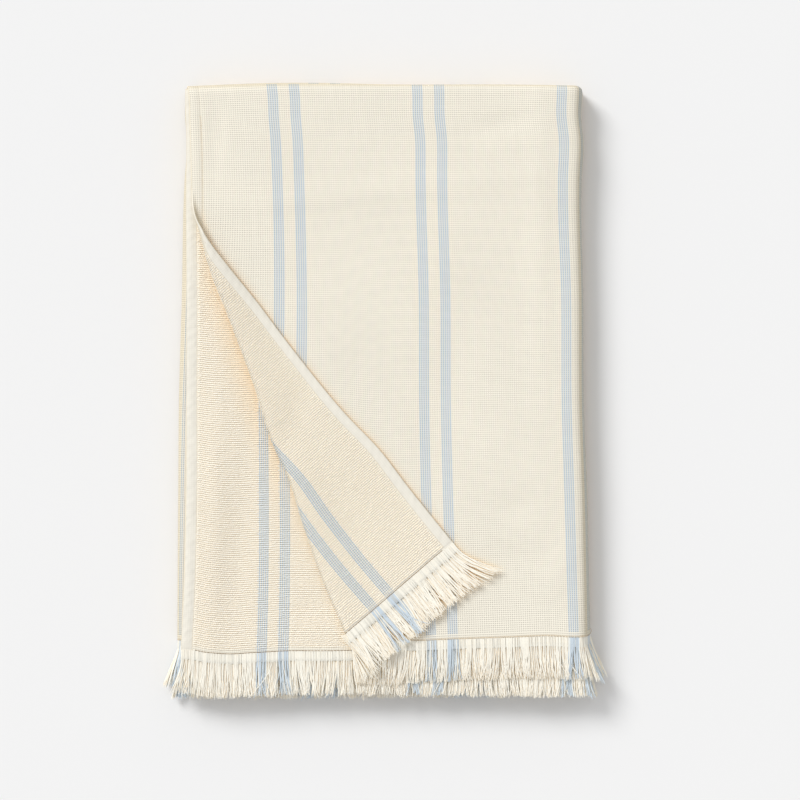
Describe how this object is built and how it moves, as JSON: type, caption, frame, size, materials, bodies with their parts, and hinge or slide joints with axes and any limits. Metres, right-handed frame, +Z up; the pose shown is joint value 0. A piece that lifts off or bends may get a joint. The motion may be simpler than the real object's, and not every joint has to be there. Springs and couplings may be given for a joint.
{
  "type": "folded beach towel",
  "caption": "Striped woven towel with fringed ends, folded flat in quarters and thirds, with the front left corner of its top layer turned back.",
  "frame": {"origin": "on the surface, under the middle of the folded towel's bounding box", "axes": "+Z up, +Y along the folded towel from its fringed ends to the top fold, +X from the side hem to the right fold"},
  "size_m": [0.3308, 0.473, 0.0303],
  "materials": {
    "towel_cloth": "cream cotton with light blue stripes, flat-woven face and looped terry reverse",
    "fringe_yarn": "loose cotton yarn, cream, light blue where the stripes end"
  },
  "bodies": {
    "root": {"cloth": "towel_cloth", "fringe_one": "fringe_yarn", "fringe_two": "fringe_yarn"}
  },
  "joints": []
}
